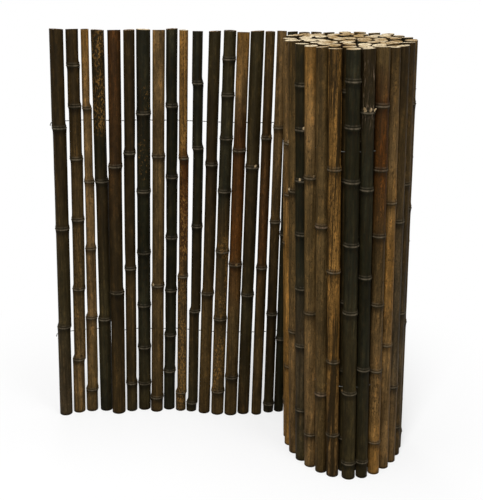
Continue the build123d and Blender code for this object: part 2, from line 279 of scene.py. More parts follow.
@dataclass(frozen=True)
class CulmSkin:
    """The skin of a culm.

    Attributes:
        name: The finish's name.
        bands: Heights in metres and the tones there, from the foot up.
        streak: The tone of its long streaks.
        streaks: How strongly they show.
        spot: The tone of its mottling.
        spots: How much of the skin the mottling covers, from 0 to 1.
        spot_heights: Where the mottling starts and ends, in metres.
        spot_size: Across and along a spot, in metres.
        ring: The tone of the scar round each node.
        pale: The tone of its thin pale streaks.
        warmth: How strongly its redder patches show.
        gloss: How strongly it reflects.
        streak_width: Across a streak, in metres.
        streak_edge: The noise at a streak's edge. A lower value makes wider streaks.
        ring_reach: Half the scar's thickness, in metres.
        seed: Moves its patterns.
    """

    name: str
    bands: tuple[tuple[float, Tone], ...]
    streak: Tone = Tone.SOOT_BROWN
    streaks: float = 0.5
    spot: Tone = Tone.TAN
    spots: float = 0.0
    spot_heights: tuple[float, float] = (0.0, 1.0)
    spot_size: tuple[float, float] = (0.0045, 0.009)
    ring: Tone = Tone.DUST
    pale: Tone = Tone.OLIVE
    warmth: float = 0.6
    gloss: float = 0.035
    streak_width: float = 0.0024
    streak_edge: float = 0.5
    ring_reach: float = 0.0018
    seed: float = 0.0

    WARMTH = (1.45, 1.22, 0.95)
    RUBBED = 2.3
    BAND_WANDER = 0.16
    STREAK_FADE = 0.14
    SPOT_FADE = 0.06
    # Height up to which the foot is painted darker, as painted shade where it stands on the floor.
    FOOT_SHADE_HEIGHT = 0.009
    SEED_SKEW = 0.7
    STREAK_WAVES = 3.2
    GROOVE_OFF = 0.0012
    RIDGE_OFF = 0.0025
    # Waves in a metre along each axis, detail and roughness of the noises.
    PATTERNS = {
        "cloud": ((34, 34, 9), 4, 0.55),
        "band": ((150, 150, 4.5), 3, 0.6),
        "fibre": ((1700, 1700, 22), 2, 0.55),
        "patch": ((120, 120, 42), 5, 0.7),
        "speck": ((620, 620, 260), 3, 0.7),
        "blotch": ((230, 230, 90), 5, 0.75),
    }
    # Which noise shades the skin, between which of its values, the darkest shade and the rise from there.
    SHADES = (
        ("cloud", 0.3, 0.72, 0.66, 0.62),
        ("band", 0.34, 0.68, 0.74, 0.55),
        ("patch", 0.36, 0.66, 0.8, 0.42),
        ("fibre", 0.3, 0.7, 0.84, 0.32),
    )
    # Middle above the node and reach of each shadow or light round it, and how far it changes the skin.
    NODE_SHADES = ((-0.007, 0.007, -0.45), (0.002, 0.013, -0.4), (0.014, 0.012, 0.3))

    def build(self) -> Material:
        """Builds the material.

        Returns:
            The material.
        """
        material, wiring, place = new_material(self.name)
        place = wiring.vector("ADD", place, (self.seed, self.seed * self.SEED_SKEW, 0.0))
        height = wiring.node("ShaderNodeSeparateXYZ", {}, [place], "Z")
        above = wiring.node("ShaderNodeAttribute", {"attribute_name": "above_node"}, [], "Fac")
        noises = {name: wiring.noise(place, *values) for name, values in self.PATTERNS.items()}
        cloud, band, fibre, patch, speck, blotch = noises.values()
        fine = 1 / self.streak_width
        streak = wiring.noise(place, (fine, fine, self.STREAK_WAVES), 5, 0.6)

        # Painted shade: the skin is painted darker near the foot, where the cane stands on the floor.
        shade = 0.25 + height.step(0.0, self.FOOT_SHADE_HEIGHT) * 0.75
        for name, low, high, least, rise in self.SHADES:
            shade = shade * (least + noises[name].step(low, high) * rise)
        for middle, reach, change in self.NODE_SHADES:
            shade = shade * (1.0 + above.bell(middle, reach) * change)
        reach = (height + (cloud - 0.5) * self.BAND_WANDER) / FENCE_HEIGHT
        colour = wiring.ramp(reach, [(at / FENCE_HEIGHT, tone.linear) for at, tone in self.bands])
        colour = wiring.vector("SCALE", colour, shade)
        warm = wiring.vector("MULTIPLY", colour, self.WARMTH)
        colour = wiring.blend(patch.step(0.5, 0.66) * band.step(0.4, 0.6) * self.warmth, colour, warm)
        edge = self.streak_edge
        colour = wiring.cover(
            colour,
            (streak.step(edge, edge + self.STREAK_FADE) * self.streaks, self.streak),
            (streak.step(0.44, 0.3) * 0.3 * patch.step(0.4, 0.6), self.pale),
            (speck.step(0.54, 0.66) * 0.7, Tone.BLACK),
            (blotch.step(0.53, 0.62) * patch.step(0.4, 0.56) * 0.75, self.streak),
        )
        rub = blotch.step(0.43, 0.35) * patch.step(0.44, 0.58) * 0.4
        colour = wiring.blend(rub, colour, wiring.vector("SCALE", colour, self.RUBBED))
        if self.spots:
            colour = self.mottle(wiring, colour, place, cloud)
        scar = above.bell(0.0001, self.ring_reach)
        below, over = -self.GROOVE_OFF - self.ring_reach, 0.0001 + self.GROOVE_OFF + self.ring_reach
        # Painted shade: dark lines are painted above and below the scar, as the shade in the grooves there.
        groove = above.bell(over, 0.0009) + above.bell(below, 0.0013)
        colour = wiring.cover(
            colour,
            (scar * (0.3 + patch.step(0.38, 0.62) * 0.65), self.ring),
            (groove * 0.75, Tone.BLACK),
            (above.bell(over + self.RIDGE_OFF, 0.0013) * 0.35 * patch.step(0.35, 0.6), self.ring),
        )
        bumps = fibre * 0.5 + streak * 0.5 + patch * 0.25
        rough = 0.5 + patch.step(0.35, 0.65) * 0.16 + scar * 0.2
        wiring.dress({"Base Color": colour, "Roughness": rough, "Specular IOR Level": self.gloss})
        relief = {"Strength": 0.35, "Distance": 0.0004, "Height": bumps}
        wiring.dress({"Normal": wiring.node("ShaderNodeBump", {}, relief)})
        return material

    def mottle(self, wiring: Wiring, colour: Quantity, place: Quantity, cloud: Quantity) -> Quantity:
        """Lays the mottling on the skin, with dark grains between its spots.

        Args:
            wiring: The material's wiring.
            colour: The skin's colour.
            place: Coordinates on the skin.
            cloud: The noise that gathers the spots.

        Returns:
            The mottled colour.
        """
        height = wiring.node("ShaderNodeSeparateXYZ", {}, [place], "Z")
        across, along = self.spot_size
        spots = wiring.noise(place, (1 / across, 1 / across, 1 / along), 4, 0.75)
        edge = 0.66 - 0.3 * self.spots
        low, high = self.spot_heights
        zone = height.step(low - 0.02, low + 0.03) * height.step(high + 0.03, high - 0.03)
        spot = spots.step(edge, edge + self.SPOT_FADE) * cloud.step(0.36, 0.52) * zone * 0.8
        return wiring.cover(colour, (spot, self.spot), (spots.step(0.46, 0.38) * zone * 0.55, Tone.BLACK))


@dataclass(frozen=True)
class SawnWood:
    """The wood of a sawn end, with its fibres, and the wall of the bore, painted dark brown as painted shade
    in the hollow.

    Attributes:
        name: The finish's name.
        fresh: The tone of the palest ends.
        old: The tone of the greyest ends.
        stain: The tone of their stains.
    """

    name: str = "sawn_bamboo"
    fresh: Tone = Tone.CREAM
    old: Tone = Tone.STRAW
    stain: Tone = Tone.PITH

    def build(self) -> Material:
        """Builds the material.

        Returns:
            The material.
        """
        material, wiring, place = new_material(self.name)
        into = wiring.node("ShaderNodeAttribute", {"attribute_name": "into_wall"}, [], "Fac")
        cane = wiring.noise(place, (19, 19, 0.5), 1)
        dots = wiring.noise(place, (1500, 1500, 60), 2, 0.6)
        saw = wiring.noise(place, (90, 900, 90), 3, 0.6)
        stain = wiring.noise(place, (130, 130, 20), 4, 0.65)
        colour = wiring.cover(
            wiring.blend(cane.step(0.36, 0.6), self.old.linear, self.fresh.linear),
            (dots.step(0.5, 0.62) * 0.4, self.stain),
            (saw.step(0.55, 0.7) * 0.25, self.fresh),
            (stain.step(0.5, 0.64) * 0.65, self.stain),
            (into.step(0.34, 0.0) * 0.8, Tone.BROWN),
            # Painted shade: the bore's wall and diaphragm are painted soot brown, for the shade deep in the
            # hollow.
            (into.step(0.9, 1.0), Tone.SOOT_BROWN),
        )
        wiring.dress({"Base Color": colour, "Roughness": 0.85, "Specular IOR Level": 0.1})
        relief = {"Strength": 0.5, "Distance": 0.0005, "Height": dots + saw}
        wiring.dress({"Normal": wiring.node("ShaderNodeBump", {}, relief)})
        return material


@dataclass(frozen=True)
class GalvanisedWire:
    """Dull galvanised wire, darker where it has weathered."""

    name: str = "galvanised_wire"

    def build(self) -> Material:
        """Builds the material.

        Returns:
            The material.
        """
        material, wiring, place = new_material(self.name)
        wear = wiring.noise(place, (240, 240, 240), 4, 0.6)
        colour = wiring.blend(wear.step(0.42, 0.6), Tone.DULL_STEEL.linear, Tone.STEEL.linear)
        rough = 0.38 + wear.step(0.35, 0.65) * 0.3
        wiring.dress({"Base Color": colour, "Roughness": rough, "Metallic": 0.85})
        return material


@dataclass(frozen=True)
class CulmForm:
    """The form of one culm, as its CAD solid has it.

    Attributes:
        along: Distances from the foot of its rings, without the crests.
        middles: The rings' middles.
        radii: The rings' radii.
        nodes: Distances from the foot of its nodes' crests.
        bore: The radius of its bore.
    """

    along: np.ndarray
    middles: np.ndarray
    radii: np.ndarray
    nodes: tuple[float, ...]
    bore: float

    CREST_RISE = 0.0002
    CREST_SLOPES = (0.006, 0.0105)
    LEVEL = 2e-5
    RIM_SHARE = 0.75
    BORE = 0.004
    RING_GAP = 1e-4
    RING_POINTS = 12
    END_ZONE = 0.002
    ROUNDNESS = 2e-4
    SKIN_SHARE = 0.7

    @property
    def length(self) -> float:
        """From foot to head."""
        return float(self.along[-1])

    def at(self, along: float) -> tuple[Vector, float]:
        """The culm's middle and radius at a distance from its foot."""
        middle = [float(np.interp(along, self.along, self.middles[:, axis])) for axis in range(3)]
        return Vector(middle), float(np.interp(along, self.along, self.radii))

    def at_height(self, height: float) -> tuple[Vector, float]:
        """The culm's middle and radius at a height above the floor."""
        return self.at(float(np.interp(height, self.middles[:, 2], self.along)))

    @classmethod
    def read_end(cls, points: np.ndarray, level: float) -> tuple[np.ndarray, float, float]:
        """Reads one end of a culm's solid.

        Args:
            points: The solid's vertices.
            level: The end's height.

        Returns:
            The end's middle, its radius and its bore's radius.
        """
        ring = points[np.abs(points[:, 2] - level) < cls.LEVEL]
        middle = (ring.min(0) + ring.max(0)) / 2
        reach = np.linalg.norm(ring - middle, axis=1)
        outer = ring[reach > cls.RIM_SHARE * reach.max()]
        inner = ring[reach < cls.RIM_SHARE * reach.max()]
        middle = outer.mean(0)
        bore = float(np.linalg.norm(inner - middle, axis=1).mean()) if len(inner) else cls.BORE
        return middle, float(np.linalg.norm(outer - middle, axis=1).mean()), bore

    @classmethod
    def from_points(cls, points: np.ndarray) -> CulmForm:
        """Reads a culm's form from its solid's vertices.

        Args:
            points: The vertices of one solid, each place once.

        Returns:
            The form.
        """
        foot, foot_radius, bore = cls.read_end(points, points[:, 2].min())
        head, head_radius, _ = cls.read_end(points, points[:, 2].max())
        length = np.linalg.norm(head - foot)
        along = (points - foot) @ ((head - foot) / length)
        order = np.argsort(along)
        points, along = points[order], along[order]
        rings = []
        for part in np.split(np.arange(len(along)), np.nonzero(np.diff(along) > cls.RING_GAP)[0] + 1):
            start = along[part[0]]
            if len(part) < cls.RING_POINTS or not cls.END_ZONE <= start <= along[-1] - cls.END_ZONE:
                continue
            middle = points[part].mean(0)
            reach = np.linalg.norm(points[part] - middle, axis=1)
            least = cls.SKIN_SHARE * min(foot_radius, head_radius)
            if np.ptp(reach) < cls.ROUNDNESS and reach.mean() > least:
                rings.append((float(along[part].mean()), middle, float(reach.mean())))
        nodes = [
            place
            for (_, _, narrow), (place, _, wide), (_, _, level) in zip(rings, rings[1:], rings[2:])
            if abs(level - wide) < cls.CREST_RISE / 4 and wide > narrow + cls.CREST_RISE
        ]
        below, above = cls.CREST_SLOPES
        plain = [ring for ring in rings if not any(-below < ring[0] - node < above for node in nodes)]
        plain = [(0.0, foot, foot_radius), *plain, (float(length), head, head_radius)]
        along, middles, radii = (np.array(column) for column in zip(*plain))
        return cls(along, middles, radii, tuple(nodes), bore)


def read_culms(node: Object) -> list[CulmForm]:
    """Reads the culms of a CAD node, in no order.

    Args:
        node: The node's object.

    Returns:
        The form of each culm.
    """
    mesh = node.data
    places = np.empty(len(mesh.vertices) * 3, np.float32)
    mesh.vertices.foreach_get("co", places)
    places = places.reshape(-1, 3).astype(float)
    corners = np.empty(len(mesh.loops), np.int32)
    mesh.loops.foreach_get("vertex_index", corners)
    microns = np.round(places * MICRONS_IN_METRE).astype(np.int64)
    _, first, same = np.unique(microns, axis=0, return_index=True, return_inverse=True)
    places, faces = places[first], same.ravel()[corners].reshape(-1, 3)
    label = np.arange(len(places))
    while True:
        before = label.copy()
        lowest = label[faces].min(1)
        for corner in range(3):
            np.minimum.at(label, faces[:, corner], lowest)
        label = label[label]
        if (label == before).all():
            break
    shells = [places[label == one] for one in np.unique(label)]
    return [CulmForm.from_points(shell) for shell in shells if np.ptp(shell[:, 2]) > WHOLE_CULM]


@dataclass(frozen=True)
class NodeProfile:
    """How far a culm's skin stands out round a node, in metres.

    Attributes:
        swelling: The broad swelling's height.
        swelling_reach: How far it reaches up and down.
        scar: The height of the thin scar that the sheath has left.
        scar_reach: Half the scar's thickness.
        groove: The depth of the groove between scar and ridge.
        ridge: The height of the ridge above the groove.
        ridge_height: The ridge's middle above the scar.
        ridge_reach: Half the ridge's thickness.
    """

    swelling: float = 0.0011
    swelling_reach: float = 0.0075
    scar: float = 0.0009
    scar_reach: float = 0.0012
    groove: float = 0.0004
    ridge: float = 0.0006
    ridge_height: float = 0.0043
    ridge_reach: float = 0.0017

    FINE_STEPS = (-24, -13, -7, -4.2, -2.6, -1.7, -1.1, -0.6, 0,
                  0.6, 1.1, 1.7, 2.4, 3.3, 4.3, 5.3, 6.6, 9, 14, 25)
    PLAIN_STEPS = (-12, -2, 0, 2, 4.3, 11)

    def offset(self, above: float) -> float:
        """How far the skin stands out at a height above the scar."""
        rise = self.swelling * math.exp(-((above / self.swelling_reach) ** 2))
        rise += self.scar * math.exp(-((above / self.scar_reach) ** 2))
        rise -= self.groove * math.exp(-(((above - 2 * self.scar_reach) / self.scar_reach) ** 2))
        return rise + self.ridge * math.exp(-(((above - self.ridge_height) / self.ridge_reach) ** 2))


@dataclass
class MeshTree:
    """A node tree that makes a mesh, with a named input for each value.

    A class of one tree gives its NAME, its INPUTS and the method wire, which adds the tree's own nodes.

    Attributes:
        tree: The tree.
        sockets: The identifier of each input, by its name.
    """

    tree: NodeTree = field(init=False)
    sockets: dict[str, str] = field(init=False, default_factory=dict)

    NAME = "mesh"
    INPUTS = {}

    def __post_init__(self) -> None:
        """Builds the tree."""
        self.tree = bpy.data.node_groups.new(self.NAME, "GeometryNodeTree")
        face = self.tree.interface
        for name, kind in self.INPUTS.items():
            made = face.new_socket(name, in_out="INPUT", socket_type="NodeSocket" + kind)
            self.sockets[name] = made.identifier
        face.new_socket("Mesh", in_out="OUTPUT", socket_type="NodeSocketGeometry")
        given = self.tree.nodes.new("NodeGroupInput").outputs[: len(self.INPUTS)]
        wiring = Wiring(self.tree)
        mesh = self.wire(wiring, [Quantity(self.tree, socket) for socket in given])
        wiring.fill(self.tree.nodes.new("NodeGroupOutput"), [mesh])

    def grow(self, name: str, source: ID, values: dict[str, object]) -> Mesh:
        """Runs the tree on a mesh or a curve, and returns a plain mesh.

        Args:
            name: The mesh's name.
            source: The mesh or curve that the tree starts from.
            values: The tree's inputs, by name.

        Returns:
            The mesh.
        """
        carrier = add(name, source)
        modifier = carrier.modifiers.new(name, "NODES")
        modifier.node_group = self.tree
        for socket, value in values.items():
            modifier[self.sockets[socket]] = value
        graph = bpy.context.evaluated_depsgraph_get()
        graph.update()
        grown = carrier.evaluated_get(graph)
        mesh = bpy.data.meshes.new_from_object(grown, preserve_all_data_layers=True, depsgraph=graph)
        mesh.name = name
        carrier.modifiers.remove(modifier)
        bpy.data.objects.remove(carrier)
        return mesh


class CulmTree(MeshTree):
    """Turns a culm's line of stations into its skin and its sawn ends."""

    NAME = "culm"
    INPUTS = {
        "Stations": "Geometry", "Sides": "Int", "Unevenness": "Float", "Seed": "Float",
        "Skin": "Material", "Wood": "Material",
    }
    STATION_VALUES = ("radius", "above_node", "into_wall", "bud_groove", "groove_turn", "slant")
    WAVES_ROUND = 0.8
    WAVES_UP = 14.0
    SEED_SKEW = 0.37
    GROOVE_SHARPNESS = 9.0
    SAME_PLACE = 2e-6
    SOFT_BEND = math.radians(55)
    SAWN_FROM = 0.001

    def wire(self, wiring: Wiring, given: list[Quantity]) -> Quantity:
        """Adds the tree's own nodes.

        Args:
            wiring: The tree's wiring.
            given: The tree's inputs, in their order.

        Returns:
            The geometry that the tree makes.
        """
        stations, sides, uneven, seed, skin, wood = given
        node = wiring.node
        count = node("GeometryNodeAttributeDomainSize", {}, {"Geometry": stations}, "Point Count")
        around = sides + 1.0
        size = {"Vertices X": count, "Vertices Y": around, "Size X": 1.0, "Size Y": 1.0}
        sheet = node("GeometryNodeMeshGrid", {}, size)
        index = node("GeometryNodeInputIndex")
        station = ((index + 0.5) / around).math("FLOOR")
        turn = (index - station * around) / sides * (-2 * math.pi)

        def sample(value: Quantity, kind: str = "FLOAT") -> Quantity:
            """Reads a value at the vertex's station."""
            return node("GeometryNodeSampleIndex", {"data_type": kind}, [stations, value, station])

        def named(name: str) -> Quantity:
            """Reads a value that the points have under a name."""
            return node("GeometryNodeInputNamedAttribute", {"data_type": "FLOAT"}, {"Name": name})

        middle = sample(node("GeometryNodeInputPosition"), "FLOAT_VECTOR")
        values = (sample(named(name)) for name in self.STATION_VALUES)
        radius, above, into, groove, groove_turn, slant = values
        way = node("ShaderNodeCombineXYZ", {}, [turn.math("COSINE"), turn.math("SINE"), 0.0])
        height = node("ShaderNodeSeparateXYZ", {}, [middle], "Z")
        shift = node("ShaderNodeCombineXYZ", {}, [seed, seed * self.SEED_SKEW, height * self.WAVES_UP])
        spot = wiring.vector("ADD", wiring.vector("SCALE", way, self.WAVES_ROUND), shift)
        wave = node("ShaderNodeTexNoise", {}, {"Vector": spot, "Scale": 1.0, "Detail": 2.0}) - 0.5
        facing = ((turn - groove_turn).math("COSINE") - 1.0) * self.GROOVE_SHARPNESS
        reach = radius * (1.0 + wave * uneven) - groove * facing.math("EXPONENT")
        rise = node("ShaderNodeCombineXYZ", {}, [0.0, 0.0, (turn - seed).math("COSINE") * reach * slant])
        spread = wiring.vector("ADD", middle, wiring.vector("SCALE", way, reach))
        place = wiring.vector("ADD", spread, rise)

        made = node("GeometryNodeSetPosition", {}, {"Geometry": sheet, "Position": place})
        made = wiring.store(wiring.store(made, "above_node", above), "into_wall", into)
        made = node("GeometryNodeMergeByDistance", {}, {"Geometry": made, "Distance": self.SAME_PLACE})
        bend = node("GeometryNodeInputMeshEdgeAngle", {}, [], "Unsigned Angle")
        soft = node("FunctionNodeCompare", {"operation": "LESS_THAN"}, [bend, self.SOFT_BEND])
        made = node("GeometryNodeSetShadeSmooth", {"domain": "EDGE"}, {0: made, 2: soft})
        made = wiring.coat(made, skin)
        sawn = [named("into_wall"), self.SAWN_FROM]
        sawn = node("FunctionNodeCompare", {"operation": "GREATER_THAN"}, sawn)
        return node("GeometryNodeSetMaterial", {}, {"Geometry": made, "Selection": sawn, "Material": wood})


class BudTree(MeshTree):
    """Makes the stub of a branch, with its foot at the origin."""

    NAME = "bud"
    INPUTS = {"Length": "Float", "Width": "Float", "Seed": "Float", "Wood": "Material"}
    WAVES = 400.0
    INTO_WALL = 0.6
    TOP = 0.3

    def wire(self, wiring: Wiring, given: list[Quantity]) -> Quantity:
        """Adds the tree's own nodes.

        Args:
            wiring: The tree's wiring.
            given: The tree's inputs, in their order.

        Returns:
            The geometry that the tree makes.
        """
        length, width, seed, wood = given
        node = wiring.node
        sizes = {"Radius Top": width * self.TOP, "Radius Bottom": width * 0.5, "Depth": length}
        cone = node("GeometryNodeMeshCone", {}, {"Vertices": 10, "Side Segments": 3, **sizes})
        spot = wiring.vector("SCALE", node("GeometryNodeInputPosition"), self.WAVES)
        spot = wiring.vector("ADD", spot, node("ShaderNodeCombineXYZ", {}, [seed, seed, seed]))
        wave = node("ShaderNodeTexNoise", {}, {"Vector": spot, "Scale": 1.0, "Detail": 2.0}, "Color")
        wave = wiring.vector("SUBTRACT", wave, (0.5, 0.5, 0.5))
        shift = wiring.vector("SCALE", wave, width * 0.5)
        made = node("GeometryNodeSetPosition", {}, {"Geometry": cone, "Offset": shift})
        return wiring.coat(wiring.store(made, "into_wall", self.INTO_WALL), wood)


class WireTree(MeshTree):
    """Twists two strands along a line."""

    NAME = "twisted_pair"
    INPUTS = {
        "Line": "Geometry", "Strand Radius": "Float", "Twist Length": "Float", "Step": "Float",
        "Wire": "Material",
    }
    SIDES = 7

    def wire(self, wiring: Wiring, given: list[Quantity]) -> Quantity:
        """Adds the tree's own nodes.

        Args:
            wiring: The tree's wiring.
            given: The tree's inputs, in their order.

        Returns:
            The geometry that the tree makes.
        """
        line, strand, twist, step, wire = given
        node = wiring.node
        fine = node("GeometryNodeResampleCurve", {"mode": "LENGTH"}, {"Curve": line, "Length": step})
        normal = node("GeometryNodeInputNormal")
        across = wiring.vector("CROSS_PRODUCT", node("GeometryNodeInputTangent"), normal)
        run = node("GeometryNodeSplineParameter", {}, [], "Length")
        rim = node("GeometryNodeCurvePrimitiveCircle", {}, {"Resolution": self.SIDES, "Radius": strand})
        both = wiring.tree.nodes.new("GeometryNodeJoinGeometry")
        for start in (0.0, math.pi):
            turn = run / twist * (2 * math.pi) + start
            out = wiring.vector("SCALE", normal, turn.math("COSINE") * strand)
            side = wiring.vector("SCALE", across, turn.math("SINE") * strand)
            shift = wiring.vector("ADD", out, side)
            moved = node("GeometryNodeSetPosition", {}, {"Geometry": fine, "Offset": shift})
            settings = {"Curve": moved, "Profile Curve": rim, "Fill Caps": True}
            wiring.fill(both, [node("GeometryNodeCurveToMesh", {}, settings)])
        return wiring.coat(Quantity(wiring.tree, both.outputs[0]), wire)


@dataclass(frozen=True)
class Bud:
    """The pale stub of a branch at a node.

    Attributes:
        height: The height in metres near which its node is.
        turn: Where it looks, in degrees from the front, anticlockwise from above.
        length: How far it stands out.
        width: Across it at its foot.
    """

    height: float
    turn: float = 0.0
    length: float = 0.005
    width: float = 0.0055

    ABOVE_NODE = 0.004
    RISE = math.radians(50)

    def place_on(self, form: CulmForm) -> Matrix:
        """Where the stub stands on a culm.

        Args:
            form: The culm's form.

        Returns:
            The stub's place, with its axis along Z.
        """
        node = min(form.nodes, key=lambda place: abs(form.at(place)[0].z - self.height))
        middle, radius = form.at(node + self.ABOVE_NODE)
        turn = math.radians(self.turn)
        out = Vector((math.sin(turn), -math.cos(turn), 0.0))
        way = out * math.cos(self.RISE) + Vector((0, 0, math.sin(self.RISE)))
        turned = Vector((0, 0, 1)).rotation_difference(way).to_matrix().to_4x4()
        return Matrix.Translation(middle + out * radius) @ turned


@dataclass
class Culm:
    """A culm with its real skin: nodes, bud grooves, sawn ends and an open bore.

    Attributes:
        form: Its form in CAD.
        seed: Sets the way that it is uneven.
        fine: Whether it is seen from near.
        profile: How it stands out round its nodes.
        groove_depth: The depth of the groove that a bud leaves above a node.
        groove_length: How far the groove runs up.
        sawn_edge: The broken edge of a sawn end.
        slant: The most that a head's cut rises across it, as a share of its width.
    """

    form: CulmForm
    seed: float
    fine: bool = True
    profile: NodeProfile = NodeProfile()
    groove_depth: float = 0.0011
    groove_length: float = 0.055
    sawn_edge: float = 0.0005
    slant: float = 0.1

    HALF_TURNOVER = 0.00015
    DIAPHRAGM_BELOW = 0.001
    DIAPHRAGM_ABOVE = 0.004
    FINE_SPACING = 0.022
    PLAIN_SPACING = 0.06
    END_CLEAR = 0.004
    LEAST_STEP = 0.0002
    GROOVE_START = 0.007
    GROOVE_RISE = 12
    GROOVE_FADE = 1.5
    FAR = 0.1
    FINE_SIDES = 28
    PLAIN_SIDES = 16
    UNEVENNESS = 0.05
    GROOVE_TURN = 2.1
    SLANT_TURN = 5.3
    LIP = 0.02
    BORE_EDGE = 0.0004

    def heights(self) -> list[float]:
        """Distances from the foot of the skin's stations, without the two ends."""
        steps = self.profile.FINE_STEPS if self.fine else self.profile.PLAIN_STEPS
        spacing = self.FINE_SPACING if self.fine else self.PLAIN_SPACING
        low, high = self.END_CLEAR, self.form.length - self.END_CLEAR
        found = [node + step * MILLIMETRE for node in self.form.nodes for step in steps]
        for below, above in zip(self.form.nodes, self.form.nodes[1:]):
            found += [(below + above) / 2 + side * self.HALF_TURNOVER for side in (-1, 1)]
        found = sorted(place for place in found if low < place < high)
        ends = [low, *found, high]
        between = []
        for start, end in zip(ends, ends[1:]):
            parts = max(1, round((end - start) / spacing))
            between += [start + (end - start) * part / parts for part in range(1, parts)]
        merged = sorted([*ends, *between])
        afters = [*merged[1:], math.inf]
        return [place for place, after in zip(merged, afters) if after - place > self.LEAST_STEP]

    def skin(self) -> list[tuple]:
        """The skin's stations, from the foot up."""
        made = []
        for place in self.heights():
            middle, radius = self.form.at(place)
            above = min((place - node for node in self.form.nodes), key=abs, default=self.FAR)
            radius += sum(self.profile.offset(place - node) for node in self.form.nodes)
            below = [number for number, node in enumerate(self.form.nodes) if node < place]
            groove, turn = 0.0, 0.0
            if below:
                run = (place - self.form.nodes[below[-1]] - self.GROOVE_START) / self.groove_length
                groove = self.groove_depth * max(0.0, min(1.0, run * self.GROOVE_RISE))
                groove *= max(0.0, 1.0 - run) ** self.GROOVE_FADE
                turn = self.seed * self.GROOVE_TURN + math.pi * (below[-1] % 2)
            made.append((middle, radius, above, 0.0, groove, turn, 0.0))
        return made

    def end(self, at_head: bool) -> list[tuple]:
        """The stations of one end, from the skin's edge in to the middle of the first diaphragm.

        Args:
            at_head: Whether it is the upper end.

        Returns:
            The stations.
        """
        nodes = self.form.nodes
        place = self.form.length if at_head else 0.0
        inward = -1.0 if at_head else 1.0
        middle, radius = self.form.at(place)
        wall = place + inward * self.FAR
        if nodes:
            wall = nodes[-1] + self.DIAPHRAGM_ABOVE if at_head else nodes[0] - self.DIAPHRAGM_BELOW
        deep, _ = self.form.at(wall)
        edge = middle + Vector((0, 0, inward * self.sawn_edge))
        lip = middle.lerp(deep, self.LIP)
        bore = self.form.bore
        face_radii = (radius - self.sawn_edge * 0.7, (radius + bore) / 2, bore + self.BORE_EDGE)
        away = -inward * self.FAR
        slant = self.slant * math.sin(self.seed * self.SLANT_TURN) if at_head else 0.0
        made = [(edge, radius, away, 0.0, 0.0, 0.0, slant)]
        for number, reach in enumerate(face_radii):
            made.append((middle, reach, away, 0.01 + 0.9 * (number + 0.5) / len(face_radii), 0.0, 0.0, slant))
        inside = ((lip, bore), (deep, bore), (deep, bore * 0.5), (deep, 0.0))
        return made + [(middle, reach, away, 1.0, 0.0, 0.0, 0.0) for middle, reach in inside]

    def mesh(self, name: str, tree: CulmTree, skin: Material, wood: Material) -> Mesh:
        """Makes the culm's mesh.

        Args:
            name: The mesh's name.
            tree: The tree that makes culms.
            skin: The skin's material.
            wood: The sawn wood's material.

        Returns:
            The mesh.
        """
        stations = [*reversed(self.end(False)), *self.skin(), *self.end(True)]
        line = bpy.data.meshes.new(name + "_line")
        edges = [(number, number + 1) for number in range(len(stations) - 1)]
        line.from_pydata([station[0] for station in stations], edges, [])
        for number, value in enumerate(CulmTree.STATION_VALUES, 1):
            layer = line.attributes.new(value, "FLOAT", "POINT")
            layer.data.foreach_set("value", [station[number] for station in stations])
        sides = self.FINE_SIDES if self.fine else self.PLAIN_SIDES
        values = {"Sides": sides, "Unevenness": self.UNEVENNESS, "Seed": self.seed}
        mesh = tree.grow(name, line, {**values, "Skin": skin, "Wood": wood})
        bpy.data.meshes.remove(line)
        return mesh


def join(name: str, meshes: list[Mesh]) -> Mesh:
    """Joins meshes that share their materials.

    Args:
        name: The joined mesh's name.
        meshes: The meshes, which are used up where there are several.

    Returns:
        The joined mesh.
    """
    if len(meshes) == 1:
        return meshes[0]
    parts = [add(name, mesh) for mesh in meshes]
    first = parts[0]
    with bpy.context.temp_override(active_object=first, selected_editable_objects=parts, object=first):
        bpy.ops.object.join()
    joined = first.data
    bpy.data.objects.remove(first)
    return joined


def put(name: str, mesh: Mesh, slot: str, node: str) -> None:
    """Puts a finished mesh into the scene in the place of a CAD node.

    Args:
        name: The piece's name.
        mesh: The mesh, in the frame of the CAD.
        slot: The record's material slot. Not used.
        node: The CAD node that it stands for.
    """
    piece = add(name, mesh)
    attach(piece, "root")
    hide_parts(node)


def look(kind: str, bands: dict[int, Tone], **changes: object) -> CulmSkin:
    """A culm's skin: its kind names the material slot, and its bands have heights in millimetres."""
    heights = tuple((height * MILLIMETRE, tone) for height, tone in bands.items())
    return CulmSkin(kind + "_bamboo", heights, **changes)


